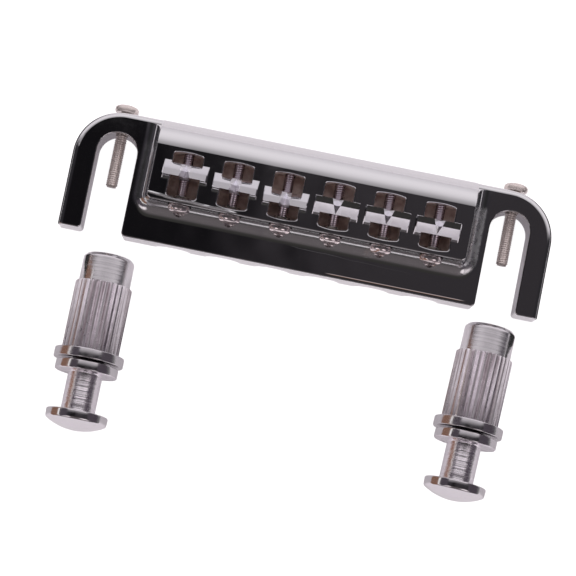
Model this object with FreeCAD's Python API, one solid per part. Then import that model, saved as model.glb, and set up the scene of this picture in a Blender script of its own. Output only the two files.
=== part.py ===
import FreeCAD, Part
import math
import os

# Six-string bridge that hooks onto two studs, lying flat, with its two stud sets in front of it.
# Millimetres. Z is up from the underside of the casting, and +Y points to the tail end.
# X = 0 is midway between the two stud slots, and Y = 0 is the line through their arc centres.

# Strings
string_count = 6
string_pitch = 10.5
cut_overrun = 1.0

# Casting: plate with two hooks
deck_height = 8.0
front_reach = 16.75
slot_width = 8.4
arm_width = 4.8
hook_web = 3.85
rear_wall = 4.4
shoulder_radius = 9.8
mouth_round = 0.8
outer_edge_round = 1.1
inner_edge_round = 0.25

# Casting: raised block that carries the saddles
block_end_wall = 3.9
block_height = 13.0
block_front = 8.5
roll_radius = 5.7
block_edge_round = 0.3
block_corner_round = 1.0
cove_radius = 3.4

# Casting: one window under each saddle
window_width = 6.1
window_length = 9.5
window_floor = 8.2
front_wall = 1.1
window_bow = 0.35
window_corner_round = 0.5
window_edge_round = 0.3

# Casting: where each string is anchored
ball_seat_radius = 3.6
ball_seat_depth = 5.5
string_bore_radius = 1.2
string_bore_height = 2.0

# Intonation screws
screw_height = 10.6
screw_radius = 1.1
screw_pitch = 0.45
screw_thread_depth = 0.24
screw_head_radius = 2.3
screw_head_rim = 0.9
screw_head_crown = 0.8
screw_neck_radius = 0.8
screw_tip_depth = 1.3
screw_tip_chamfer = 0.3
recess_width_share = 0.3
recess_reach_share = 0.62
recess_depth_share = 0.55
running_gap = 0.05
head_gap = 0.1

# Retaining clips on the screws
clip_radius = 1.75
clip_thickness = 0.4
clip_gap = 0.2
clip_mouth = 1.1

# Saddles
saddle_width = 9.1
saddle_top_height = 3.9
saddle_top_fall = 0.15
saddle_flat = 1.25
saddle_slope = 1.6
saddle_slope_angle = 57.0
saddle_foot_height = 0.3
cheek_width = 1.35
cheek_reach = 0.6
step_reach = 0.5
step_height = 0.75
saddle_draft = 0.1
saddle_edge_chamfer = 0.15
saddle_seat_gap = 0.05
boss_width = 5.4
boss_length = 2.6
boss_drop = 1.5
notch_edge_width = 2.3
notch_crest_width = 1.4
notch_angle = 62.0
# Resting place of each saddle's middle, as a share of its window from the rear end
saddle_place_shares = (0.436, 0.515, 0.583, 0.552, 0.552, 0.552)
saddles_facing_tail = 3

# Small set screws through the closed ends of the hooks
ear_screw_height = 4.0
ear_screw_radius = 1.225
ear_screw_pitch = 0.45
ear_screw_thread_depth = 0.24
ear_screw_head_radius = 2.5
ear_screw_head_rim = 1.0
ear_screw_head_crown = 0.8
ear_screw_reach = 6.9
ear_screw_tip_chamfer = 0.35
ear_screw_head_gap = 0.3

# Studs
stud_head_radius = 6.4
stud_head_rim = 1.8
stud_dome_height = 1.8
stud_neck_radius = 3.55
stud_neck_length = 8.2
stud_neck_round = 0.5
stud_flange_radius = 6.45
stud_flange_thickness = 2.0
stud_flange_bevel = 0.4
stud_edge_round = 0.3
stud_shank_radius = 3.95
stud_shank_length = 17.5
stud_pitch = 1.25
stud_thread_depth = 0.7
stud_tip_chamfer = 0.9
stud_gap = 0.4

# Bushings that the studs screw into
bushing_flange_radius = 7.2
bushing_flange_thickness = 2.0
bushing_edge_chamfer = 0.3
knurl_radius = 5.9
knurl_length = 14.4
knurl_depth = 0.5
knurl_count = 32
knurl_land_share = 0.36
knurl_end_chamfer = 0.3
nose_radius = 5.3
nose_length = 6.0
nose_chamfer = 0.8
bushing_bore_gap = 0.1
bushing_mouth_chamfer = 0.4

# Where the two stud sets lie: the seat of the bushing flange, and the turn of the set
left_set_offset = -38.3
left_set_front = 41.6
left_set_turn = -0.3
right_set_offset = 40.6
right_set_front = 40.4
right_set_turn = 2.5

# Sizes worked out from the ones above
block_length = (string_count - 1) * string_pitch + window_width + 2 * block_end_wall
stud_spacing = block_length + 2 * hook_web + slot_width
slot_radius = slot_width / 2
rear_reach = slot_radius + rear_wall
stud_line = stud_spacing / 2
half_length = stud_line + slot_radius + arm_width
window_front_edge = block_front - front_wall
window_rear_edge = window_length - window_front_edge
screw_bore_radius = screw_radius + running_gap
clip_rear = window_front_edge - clip_gap - clip_thickness
ear_bore_radius = ear_screw_radius + running_gap
saddle_edge = (saddle_flat + saddle_slope) / 2
saddle_crease = saddle_edge - saddle_flat
saddle_crest = saddle_top_height - saddle_top_fall
slope_rate = math.tan(math.radians(saddle_slope_angle))
bar_end_height = saddle_crest - saddle_slope * slope_rate
cheek_end_height = saddle_crest - (saddle_slope + cheek_reach) * slope_rate
bushing_bore_radius = stud_shank_radius + bushing_bore_gap

x_axis = FreeCAD.Vector(1, 0, 0)
y_axis = FreeCAD.Vector(0, 1, 0)
z_axis = FreeCAD.Vector(0, 0, 1)


def point(x, y, z):
    return FreeCAD.Vector(x, y, z)


def block(x0, x1, y0, y1, z0, z1):
    """A box between two corners."""
    return Part.makeBox(x1 - x0, y1 - y0, z1 - z0, point(x0, y0, z0))


def rod_y(radius, x, z, y0, y1):
    """A cylinder along Y."""
    return Part.makeCylinder(radius, y1 - y0, point(x, y0, z), y_axis)


def solid_face(points):
    """A flat face with straight sides."""
    return Part.Face(Part.makePolygon(points + [points[0]]))


def turned(profile):
    """Turn a closed profile of (radius, height) pairs about the Z axis."""
    face = solid_face([point(radius, 0, height) for radius, height in profile])
    return face.revolve(point(0, 0, 0), z_axis, 360)


def thread_profile(radius, depth, pitch, start, end):
    """Rings of a thread as (radius, height) pairs, from start up to end."""
    rings = max(1, math.floor((end - start) / pitch))
    step = (end - start) / rings
    pairs = []
    for ring in range(rings):
        low = start + ring * step
        pairs.append((radius - depth, low))
        pairs.append((radius, low + step / 2))
    pairs.append((radius - depth, end))
    return pairs


def edges_where(shape, test):
    """The edges of a shape whose middle point and bounding box pass a test."""
    return [edge for edge in shape.Edges if test(edge)]


def near(value, target):
    return abs(value - target) < cut_overrun / 1000


def flat_at(edge, height):
    """Whether an edge lies level at one height."""
    box = edge.BoundBox
    return near(box.ZMin, height) and near(box.ZMax, height)


def upright(edge):
    """Whether an edge is a straight vertical line."""
    box = edge.BoundBox
    return near(box.XMin, box.XMax) and near(box.YMin, box.YMax)


def export(shape, name):
    shape.exportStep("parts/" + name + ".step")


# Casting

def slot_cutter(side):
    """The U of one hook: a round end at Y = 0, open to the front."""
    x = side * stud_line
    arc = Part.makeCylinder(slot_radius, deck_height + 2 * cut_overrun, point(x, 0, -cut_overrun))
    lane = block(x - slot_radius, x + slot_radius, -front_reach - cut_overrun, 0,
                 -cut_overrun, deck_height + cut_overrun)
    return arc.fuse(lane)


def plate():
    """The flat plate in plan, with rounded shoulders, its two slots and eased edges."""
    shape = block(-half_length, half_length, -front_reach, rear_reach, 0, deck_height)
    shoulders = edges_where(shape, lambda edge: upright(edge) and edge.BoundBox.YMin > 0)
    shape = shape.makeFillet(shoulder_radius, shoulders)
    for side in (-1, 1):
        shape = shape.cut(slot_cutter(side))
    shape = shape.removeSplitter()
    mouths = edges_where(shape, at_slot_mouth)
    shape = shape.makeFillet(mouth_round, mouths)
    shape = shape.makeFillet(outer_edge_round, edges_where(shape, on_outer_rim))
    return shape.makeFillet(inner_edge_round, edges_where(shape, on_inner_rim))


def at_slot_mouth(edge):
    """Whether an edge is an upright corner where a slot opens to the front."""
    middle = edge.CenterOfMass
    at_front = near(middle.y, -front_reach) and abs(middle.x) < half_length - mouth_round
    return upright(edge) and at_front


def on_outer_rim(edge):
    """Whether a top edge runs round the outside: two sides, two shoulders and the rear."""
    box = edge.BoundBox
    reaches_out = near(box.XMax, half_length) or near(box.XMin, -half_length) or near(box.YMax, rear_reach)
    return flat_at(edge, deck_height) and reaches_out and not near(box.YMax, -front_reach)


def on_inner_rim(edge):
    """Whether a top edge is on a slot wall, a mouth or the front."""
    middle = edge.CenterOfMass
    return flat_at(edge, deck_height) and near(middle.y, -front_reach)


def side_profile(front, top, roll):
    """The side view of the raised block as a face in the YZ plane, with its rolled rear."""
    roll_y = rear_reach - roll_radius
    roll_z = block_height - roll_radius
    start = point(0, roll_y, roll_z + roll)
    middle = point(0, roll_y + roll * math.sqrt(0.5), roll_z + roll * math.sqrt(0.5))
    end = point(0, roll_y + roll, roll_z)
    corner = point(0, -front, 0)
    front_top = point(0, -front, top)
    lines = [Part.makeLine(corner, front_top), Part.makeLine(front_top, start),
             Part.Arc(start, middle, end).toShape(),
             Part.makeLine(end, point(0, roll_y + roll, 0)),
             Part.makeLine(point(0, roll_y + roll, 0), corner)]
    return Part.Face(Part.Wire(lines))


def raised_block():
    """The block with its rear rolled over for the strings and its edges rounded."""
    half = block_length / 2
    shape = side_profile(block_front, block_height, roll_radius)
    shape = shape.extrude(x_axis * block_length)
    shape.translate(x_axis * -half)
    corners = edges_where(shape, lambda edge: upright(edge) and edge.BoundBox.YMin < 0)
    shape = shape.makeFillet(block_corner_round, corners)
    def upper(edge):
        return edge.BoundBox.ZMax > deck_height and not upright(edge) and not along_roll(edge)
    return shape.makeFillet(block_edge_round, edges_where(shape, upper))


def along_roll(edge):
    """Whether an edge is one of the long lines where the roll begins and ends."""
    box = edge.BoundBox
    return box.XMax - box.XMin > block_length / 2 and box.YMin > 0


def cove_face(start, across):
    """A flat face of the cove section from a point at the foot of the wall."""
    centre = start + across * cove_radius + z_axis * cove_radius
    wall_top = start + z_axis * cove_radius
    toe = start + across * cove_radius
    mid = centre - (across + z_axis) * (cove_radius * math.sqrt(0.5))
    inside = start - across * inner_edge_round
    lines = [Part.makeLine(inside - z_axis * inner_edge_round, inside + z_axis * cove_radius),
             Part.makeLine(inside + z_axis * cove_radius, wall_top),
             Part.Arc(wall_top, mid, toe).toShape(),
             Part.makeLine(toe, toe - z_axis * inner_edge_round),
             Part.makeLine(toe - z_axis * inner_edge_round, inside - z_axis * inner_edge_round)]
    return Part.Face(Part.Wire(lines))


def coves():
    """The hollow fillet where the block rises from the plate, at both ends and along the front."""
    half = block_length / 2
    inner = half - block_corner_round
    front_line = block_corner_round - block_front
    pieces = [cove_face(point(-inner, -block_front, deck_height), -y_axis).extrude(x_axis * 2 * inner)]
    envelope = side_profile(block_front + cove_radius, block_height - outer_edge_round,
                            roll_radius - outer_edge_round)
    envelope = envelope.extrude(x_axis * 2 * half_length)
    envelope.translate(x_axis * -half_length)
    for side in (-1, 1):
        start = point(side * half, front_line, deck_height)
        strip = cove_face(start, x_axis * side).extrude(y_axis * (rear_reach - front_line))
        pieces.append(strip.common(envelope))
        pivot = point(side * inner, front_line, 0)
        quarter = cove_face(start, x_axis * side).revolve(pivot, z_axis * -side, 90)
        pieces.append(quarter)
    return pieces


def window_x(number):
    """X of a string's line, counted from the left."""
    return (number - (string_count - 1) / 2) * string_pitch


def window_cutter(x):
    """One window: straight sides, slightly bowed ends and round corners."""
    half = window_width / 2
    rear = window_rear_edge
    front = -window_front_edge
    floor = window_floor
    rear_left = point(x - half, rear - window_bow, floor)
    rear_right = point(x + half, rear - window_bow, floor)
    front_left = point(x - half, front + window_bow, floor)
    front_right = point(x + half, front + window_bow, floor)
    outline = Part.Wire([Part.makeLine(front_left, rear_left),
                         Part.Arc(rear_left, point(x, rear, floor), rear_right).toShape(),
                         Part.makeLine(rear_right, front_right),
                         Part.Arc(front_right, point(x, front, floor), front_left).toShape()])
    shape = Part.Face(outline).extrude(z_axis * (block_height - floor + cut_overrun))
    return shape.makeFillet(window_corner_round, edges_where(shape, upright))


def screw_cutters(x):
    """The holes of one intonation screw: head room, bearing in the front wall and rear socket."""
    room = rod_y(screw_head_radius + running_gap * 2, x, screw_height,
                 -block_front - cove_radius - cut_overrun, -block_front)
    bore = rod_y(screw_bore_radius, x, screw_height, -block_front - cut_overrun / 2,
                 window_rear_edge + screw_tip_depth + head_gap)
    return [room, bore]


def string_cutters(x):
    """The half-round seat of a string's ball end and the bore that leads to the rear."""
    seat = rod_y(ball_seat_radius, x, 0, -front_reach - cut_overrun, ball_seat_depth - front_reach)
    bore = rod_y(string_bore_radius, x, string_bore_height, ball_seat_depth - front_reach - cut_overrun,
                 rear_reach + cut_overrun)
    return [seat, bore]


def bridge_casting():
    shape = plate().fuse([raised_block()] + coves())
    shape = shape.removeSplitter()
    windows = [window_cutter(window_x(number)) for number in range(string_count)]
    shape = shape.cut(windows)
    rims = edges_where(shape, on_window_rim)
    shape = shape.makeFillet(window_edge_round, rims)
    cutters = []
    for number in range(string_count):
        cutters += screw_cutters(window_x(number)) + string_cutters(window_x(number))
    for side in (-1, 1):
        cutters.append(rod_y(ear_bore_radius, side * stud_line, ear_screw_height, 0,
                             rear_reach + cut_overrun))
    return shape.cut(cutters)


def on_window_rim(edge):
    """Whether an edge belongs to the top rim of a window."""
    box = edge.BoundBox
    return (flat_at(edge, block_height) and box.YMax < window_rear_edge + window_bow
            and box.YMin > -window_front_edge - window_bow and box.XMax - box.XMin < string_pitch)


# Screws

def screw_head_pairs(radius, rim, crown, base):
    """A pan head as (radius, height) pairs from its seat up to its pole."""
    pairs = [(radius, base), (radius, base + rim)]
    steps = 5
    for step in range(1, steps + 1):
        angle = math.radians(90) * step / steps
        pairs.append((radius * math.cos(angle), base + rim + crown * math.sin(angle)))
    return pairs[:-1] + [(0, base + rim + crown)]


def cross_recess(radius, top):
    """Two crossed slots in a screw head."""
    reach = radius * recess_reach_share
    half = radius * recess_width_share / 2
    depth = radius * recess_depth_share
    one = block(-reach, reach, -half, half, top - depth, top + cut_overrun)
    other = block(-half, half, -reach, reach, top - depth, top + cut_overrun)
    return one.fuse(other)


def stand_along_y(shape, x, y, z, facing):
    """Lay a part that was turned about Z along Y, with its top to the front (-1) or the rear (1)."""
    shape.rotate(point(0, 0, 0), x_axis, -90 * facing)
    shape.translate(point(x, y, z))
    return shape


def intonation_screw(x):
    """Pan-head screw: the head bears on the front wall and the tip turns in the rear socket."""
    neck = front_wall + head_gap + clip_gap + clip_thickness
    length = block_front + head_gap + window_rear_edge + screw_tip_depth
    thread = thread_profile(screw_radius, screw_thread_depth, screw_pitch,
                            screw_tip_chamfer - length, -neck - running_gap)
    profile = [(0, -length), (screw_radius - screw_thread_depth - running_gap, -length)] + thread
    profile += [(screw_neck_radius, -neck - running_gap), (screw_neck_radius, 0)]
    profile += screw_head_pairs(screw_head_radius, screw_head_rim, screw_head_crown, 0)
    top = screw_head_rim + screw_head_crown
    shape = turned(profile).cut(cross_recess(screw_head_radius, top))
    return stand_along_y(shape, x, -block_front - head_gap, screw_height, -1)


def screw_clip(x):
    """Open ring pressed onto the screw's neck behind the front wall."""
    ring = Part.makeCylinder(clip_radius, clip_thickness)
    ring = ring.cut(Part.makeCylinder(screw_neck_radius, clip_thickness))
    ring = ring.cut(block(-clip_mouth / 2, clip_mouth / 2, -clip_radius - cut_overrun, 0,
                          -cut_overrun, clip_thickness + cut_overrun))
    return stand_along_y(ring, x, -clip_rear, screw_height, -1)


def ear_screw(side):
    """Small screw through the closed end of a hook; its tip meets the stud's neck."""
    length = ear_screw_reach + rear_reach + ear_screw_head_gap
    thread = thread_profile(ear_screw_radius, ear_screw_thread_depth, ear_screw_pitch,
                            ear_screw_tip_chamfer - length, 0)
    profile = [(0, -length), (ear_screw_radius - ear_screw_thread_depth - running_gap, -length)] + thread
    profile += screw_head_pairs(ear_screw_head_radius, ear_screw_head_rim, ear_screw_head_crown, 0)
    top = ear_screw_head_rim + ear_screw_head_crown
    shape = turned(profile).cut(cross_recess(ear_screw_head_radius, top))
    return stand_along_y(shape, side * stud_line, rear_reach + ear_screw_head_gap,
                         ear_screw_height, 1)


# Saddles

def saddle_bar():
    """The bar between the cheeks: a nearly flat top and a steep slope, as one section."""
    section = solid_face([point(0, saddle_edge, 0), point(0, saddle_edge, saddle_top_height),
                          point(0, saddle_crease, saddle_crest),
                          point(0, -saddle_edge, bar_end_height), point(0, -saddle_edge, 0)])
    bar = section.extrude(x_axis * saddle_width)
    bar.translate(x_axis * (-saddle_width / 2))
    return bar


def saddle_cheek(side):
    """One end of the saddle, longer than the bar, with feet on the casting's flat top."""
    high_end = saddle_edge + step_reach
    low_end = saddle_edge + cheek_reach
    section = solid_face([point(0, high_end, 0), point(0, high_end, step_height),
                          point(0, saddle_edge, step_height), point(0, saddle_edge, saddle_top_height),
                          point(0, saddle_crease, saddle_crest),
                          point(0, -low_end, cheek_end_height), point(0, -low_end, 0)])
    inner = saddle_width / 2 - cheek_width
    cheek = section.extrude(x_axis * (cheek_width + saddle_draft))
    cheek.translate(x_axis * inner)
    lean = solid_face([point(saddle_width / 2 + saddle_draft, 0, 0),
                       point(saddle_width / 2, 0, saddle_top_height),
                       point(saddle_width / 2, 0, saddle_top_height + cut_overrun),
                       point(saddle_width, 0, saddle_top_height + cut_overrun),
                       point(saddle_width, 0, 0)])
    lean = lean.extrude(y_axis * saddle_width)
    lean.translate(y_axis * (-saddle_width / 2))
    cheek = cheek.cut(lean)
    if side < 0:
        cheek = cheek.mirror(point(0, 0, 0), x_axis)
    return cheek


def notch_section(y, bottom):
    """One triangle of the string notch, standing on its point."""
    rise = saddle_top_height + cut_overrun
    spread = rise * math.tan(math.radians(notch_angle / 2))
    return Part.makePolygon([point(0, y, bottom), point(spread, y, bottom + rise),
                             point(-spread, y, bottom + rise), point(0, y, bottom)])


def string_notch():
    """The V that guides the string: widest at the high edge and run out down the slope."""
    per_width = 1 / (2 * math.tan(math.radians(notch_angle / 2)))
    edge_floor = saddle_top_height - notch_edge_width * per_width
    crest_floor = saddle_crest - notch_crest_width * per_width
    funnel = Part.makeLoft([notch_section(saddle_edge + running_gap, edge_floor),
                            notch_section(saddle_crease, crest_floor)], True, True)
    run_out = Part.makeLoft([notch_section(saddle_crease, crest_floor),
                             notch_section(-saddle_edge - running_gap, bar_end_height)], True, True)
    return [funnel, run_out]


def saddle(number):
    """Bar, two cheeks and the boss that the screw drives, turned to face its way."""
    shape = saddle_bar().fuse([saddle_cheek(-1), saddle_cheek(1)])
    shape = shape.removeSplitter()
    rims = edges_where(shape, on_saddle_rim)
    shape = shape.makeChamfer(saddle_edge_chamfer, rims)
    boss_foot = screw_height - boss_drop - block_height - saddle_seat_gap
    boss = block(-boss_width / 2, boss_width / 2, -boss_length / 2, boss_length / 2,
                 boss_foot, step_height)
    boss = boss.makeFillet(window_corner_round / 2, edges_where(boss, upright))
    shape = shape.fuse(boss).cut(string_notch())
    bore_z = screw_height - block_height - saddle_seat_gap
    shape = shape.cut(rod_y(screw_bore_radius, 0, bore_z, -saddle_width, saddle_width))
    if number < saddles_facing_tail:
        shape.rotate(point(0, 0, 0), z_axis, 180)
    place = window_rear_edge - saddle_place_shares[number] * window_length
    shape.translate(point(window_x(number), place, block_height + saddle_seat_gap))
    return shape


def on_saddle_rim(edge):
    """Whether an edge is one of the saddle's long outer rims above its feet."""
    box = edge.BoundBox
    outside = box.XMax > saddle_width / 2 - saddle_draft or box.XMin < saddle_draft - saddle_width / 2
    thin = box.XMax - box.XMin < saddle_width / 2
    raised = box.ZMin > saddle_foot_height
    return outside and thin and raised


# Stud sets

def stud():
    """Stud along Z: threaded shank, flange, waist that the hook grips, and domed head."""
    flange = bushing_flange_thickness + stud_gap
    neck = flange + stud_flange_thickness
    head = neck + stud_neck_length
    rim = head + stud_head_rim
    tip = flange - stud_shank_length
    thread = thread_profile(stud_shank_radius, stud_thread_depth, stud_pitch,
                            tip + stud_tip_chamfer, flange - stud_pitch / 2)
    core = stud_shank_radius - stud_thread_depth
    profile = [(0, tip), (core - stud_tip_chamfer / 2, tip)] + thread + [(core, flange)]
    profile += [(stud_flange_radius - stud_edge_round, flange),
                (stud_flange_radius, flange + stud_edge_round),
                (stud_flange_radius, neck - stud_flange_bevel),
                (stud_flange_radius - stud_flange_bevel, neck),
                (stud_neck_radius + stud_neck_round, neck),
                (stud_neck_radius, neck + stud_neck_round),
                (stud_neck_radius, head - stud_neck_round),
                (stud_neck_radius + stud_neck_round, head),
                (stud_head_radius - stud_edge_round, head),
                (stud_head_radius, head + stud_edge_round),
                (stud_head_radius, rim), (0, rim)]
    return turned(profile).fuse(stud_dome(rim)).removeSplitter()


def stud_dome(rim):
    """The low dome of the head: the cap of a ball that meets the rim."""
    ball = (stud_head_radius ** 2 + stud_dome_height ** 2) / (2 * stud_dome_height)
    centre = rim + stud_dome_height - ball
    start = point(stud_head_radius, 0, rim)
    pole = point(0, 0, rim + stud_dome_height)
    lean = math.asin(stud_head_radius / ball) / 2
    middle = point(ball * math.sin(lean), 0, centre + ball * math.cos(lean))
    lines = [Part.Arc(start, middle, pole).toShape(), Part.makeLine(pole, point(0, 0, rim)),
             Part.makeLine(point(0, 0, rim), start)]
    return Part.Face(Part.Wire(lines)).revolve(point(0, 0, 0), z_axis, 360)


def knurl():
    """The grooved barrel below the flange."""
    pitch_angle = 2 * math.pi / knurl_count
    points = []
    for groove in range(knurl_count):
        for share, radius in ((-knurl_land_share / 2, knurl_radius), (knurl_land_share / 2, knurl_radius),
                              (0.5, knurl_radius - knurl_depth)):
            angle = (groove + share) * pitch_angle
            points.append(point(radius * math.cos(angle), radius * math.sin(angle), -knurl_length))
    barrel = solid_face(points).extrude(z_axis * knurl_length)
    cone = turned([(0, -knurl_length), (knurl_radius - knurl_end_chamfer, -knurl_length),
                   (knurl_radius, knurl_end_chamfer - knurl_length), (knurl_radius, 0), (0, 0)])
    return barrel.common(cone)


def bushing():
    """Bushing along Z: flange on top, knurled barrel, smooth nose, and a bore for the stud."""
    edge = bushing_edge_chamfer
    tip = knurl_length + nose_length
    flange = turned([(0, 0), (bushing_flange_radius - edge, 0), (bushing_flange_radius, edge),
                     (bushing_flange_radius, bushing_flange_thickness - edge),
                     (bushing_flange_radius - edge, bushing_flange_thickness),
                     (0, bushing_flange_thickness)])
    nose = turned([(0, -tip), (nose_radius - nose_chamfer, -tip), (nose_radius, nose_chamfer - tip),
                   (nose_radius, -knurl_length), (0, -knurl_length)])
    mouth = bushing_bore_radius + bushing_mouth_chamfer
    bore = turned([(0, -tip - cut_overrun), (bushing_bore_radius, -tip - cut_overrun),
                   (bushing_bore_radius, bushing_flange_thickness - bushing_mouth_chamfer),
                   (mouth, bushing_flange_thickness), (mouth, bushing_flange_thickness + cut_overrun),
                   (0, bushing_flange_thickness + cut_overrun)])
    return flange.fuse([knurl(), nose]).cut(bore)


def lay_down(shape, x, front, turn):
    """Lay a stud set on the floor: it rests on the flange's rim and the knurl's far edge."""
    run = knurl_length - knurl_end_chamfer + bushing_edge_chamfer
    droop = math.degrees(math.atan2(bushing_flange_radius - knurl_radius, run))
    lift = (bushing_flange_radius * math.cos(math.radians(droop))
            - bushing_edge_chamfer * math.sin(math.radians(droop)))
    shape.rotate(point(0, 0, 0), x_axis, 90 - droop)
    shape.rotate(point(0, 0, 0), z_axis, -turn)
    shape.translate(point(x, -front, lift))
    return shape


def main():
    os.makedirs("parts", exist_ok=True)
    export(bridge_casting(), "bridge_casting")
    for number in range(string_count):
        label = str(number + 1)
        export(saddle(number), "saddle_" + label)
        export(intonation_screw(window_x(number)), "intonation_screw_" + label)
        export(screw_clip(window_x(number)), "screw_clip_" + label)
    export(ear_screw(-1), "ear_screw_left")
    export(ear_screw(1), "ear_screw_right")
    left = (left_set_offset, left_set_front, left_set_turn)
    right = (right_set_offset, right_set_front, right_set_turn)
    export(lay_down(stud(), *left), "stud_left")
    export(lay_down(bushing(), *left), "bushing_left")
    export(lay_down(stud(), *right), "stud_right")
    export(lay_down(bushing(), *right), "bushing_right")


main()
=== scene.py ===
# %% [markdown]
# # A hardtail bridge and its two stud sets
# A guitar bridge of this kind is a chrome plated casting that hooks round two
# studs. It carries six saddles, each on its own screw. The engineering solids
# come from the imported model. This lesson gives them their finishes, and sets
# up the camera, the light and the floor of a small product studio.

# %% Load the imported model
import math
import bpy
from mathutils import Matrix, Vector


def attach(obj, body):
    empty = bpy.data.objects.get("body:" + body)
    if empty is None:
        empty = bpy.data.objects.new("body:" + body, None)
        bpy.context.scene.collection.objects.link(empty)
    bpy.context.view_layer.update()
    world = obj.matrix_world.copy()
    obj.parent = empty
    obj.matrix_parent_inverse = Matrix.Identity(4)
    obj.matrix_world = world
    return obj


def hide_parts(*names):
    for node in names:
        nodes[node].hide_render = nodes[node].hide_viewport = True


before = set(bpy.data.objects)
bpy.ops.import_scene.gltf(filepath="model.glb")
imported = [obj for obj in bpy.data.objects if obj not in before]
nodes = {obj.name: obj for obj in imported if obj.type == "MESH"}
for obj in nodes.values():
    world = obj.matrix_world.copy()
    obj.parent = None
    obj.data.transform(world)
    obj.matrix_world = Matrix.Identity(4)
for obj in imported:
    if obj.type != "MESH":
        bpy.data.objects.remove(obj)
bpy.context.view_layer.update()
print("pieces in the model:", len(nodes))

# %% [markdown]
# ## The camera
# The camera stands almost straight above the bridge, leans 5.5 degrees to the
# front and is rolled by 11.2 degrees, so the bridge lies aslant in the frame.
# A long lens from half a metre away keeps the two ends the same size.

# %% Place the camera
camera_place = Vector((-0.0012977, -0.0662889, 0.4831448))
camera_lean = 0.0959931
camera_tilt = -0.000224475
camera_roll = 0.00281973 + math.radians(11.2)
camera_data = bpy.data.cameras.new("studio_camera")
camera_data.sensor_width = 36.0
camera_data.lens = 145.4698
camera_data.clip_start = 0.01
camera = bpy.data.objects.new("studio_camera", camera_data)
bpy.context.scene.collection.objects.link(camera)
camera.matrix_world = (
    Matrix.Translation(camera_place)
    @ Matrix.Rotation(camera_lean, 4, "X")
    @ Matrix.Rotation(camera_tilt, 4, "Y")
    @ Matrix.Rotation(camera_roll, 4, "Z"))
bpy.context.scene.camera = camera
print("camera height in mm:", round(camera_place.z * 1000))

# %% [markdown]
# ## Helpers for node trees
# A finish is a chain of nodes. Writing out each node and each link makes long
# code, so two small helpers add a node with its settings, and connect it. A
# socket is given either another node's output, which is linked, or a number.

# %% Define the node helpers
MIX_FIRST, MIX_SECOND = 6, 7  # the colour sockets of a Mix node


def feed(tree, socket, value):
    if isinstance(value, bpy.types.NodeSocket):
        tree.links.new(value, socket)
    else:
        socket.default_value = value


def add(tree, kind, settings=None, **inputs):
    node = tree.nodes.new("ShaderNode" + kind)
    for name, value in (settings or {}).items():
        setattr(node, name, value)
    for name, value in inputs.items():
        feed(tree, node.inputs[name.replace("_", " ")], value)
    return node


def calc(tree, operation, *values):
    node = tree.nodes.new("ShaderNodeMath")
    node.operation = operation
    for socket, value in zip(node.inputs, values):
        feed(tree, socket, value)
    return node.outputs[0]


def blend(tree, share, first, second):
    node = tree.nodes.new("ShaderNodeMix")
    node.data_type = "RGBA"
    feed(tree, node.inputs["Factor"], share)
    feed(tree, node.inputs[MIX_FIRST], first)
    feed(tree, node.inputs[MIX_SECOND], second)
    return node.outputs[2]


print("node helpers ready")


# %% [markdown]
# A ramp climbs smoothly from 0 to 1 between two values, and a band is 1 only
# between them. Most masks below are ramps and bands, multiplied together.

# %% Define ramps, bands and colours
def ramp(tree, value, start, end, low=0.0, high=1.0):
    node = tree.nodes.new("ShaderNodeMapRange")
    node.interpolation_type = "SMOOTHSTEP"
    for name, item in (("Value", value), ("From Min", start), ("From Max", end),
                       ("To Min", low), ("To Max", high)):
        feed(tree, node.inputs[name], item)
    return node.outputs["Result"]


def both(tree, first, second):
    return calc(tree, "MULTIPLY", first, second)


def band(tree, value, low, high, soft):
    return both(tree, ramp(tree, value, low - soft, low + soft),
                ramp(tree, value, high + soft, high - soft))


def plus(tree, start, share, amount):
    return calc(tree, "ADD", start, calc(tree, "MULTIPLY", share, amount))


def rgb(red, green, blue):
    return (red, green, blue, 1.0)


def grey(level, warm=0.0):
    return rgb(level * (1 + warm), level, level * (1 - warm))


print("ramps and colours ready")

# %% [markdown]
# ## The studio around the bridge
# Chrome has hardly any colour of its own: what is seen is the room. So the
# room is painted on the world. The colour is worked out from the direction that
# a ray leaves in: how far it leans from the zenith, and which wall it faces.

# %% Find out where a ray goes
nearly_zero = 0.001
world = bpy.data.worlds.new("product_studio")
bpy.context.scene.world = world
world.use_nodes = True
tree = world.node_tree
tree.nodes.clear()
way = add(tree, "TexCoord").outputs["Generated"]
east, north, height = add(tree, "SeparateXYZ", Vector=way).outputs
steep = calc(tree, "MAXIMUM", height, nearly_zero)
lean_east = calc(tree, "DIVIDE", east, steep)
lean_north = calc(tree, "DIVIDE", north, steep)
flat = calc(tree, "SQRT", calc(tree, "SUBTRACT", 1.0, calc(tree, "MULTIPLY", height, height)))
flat = calc(tree, "MAXIMUM", flat, nearly_zero)
facing_north = calc(tree, "DIVIDE", north, flat)
facing_side = calc(tree, "ABSOLUTE", calc(tree, "DIVIDE", east, flat))
print("a ray's lean and facing take", len(tree.nodes), "nodes")

# %% [markdown]
# The ceiling is nearly black on the left and dark grey on the right, which the
# flat top of the casting shows. The front and the side walls are dim.

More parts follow.
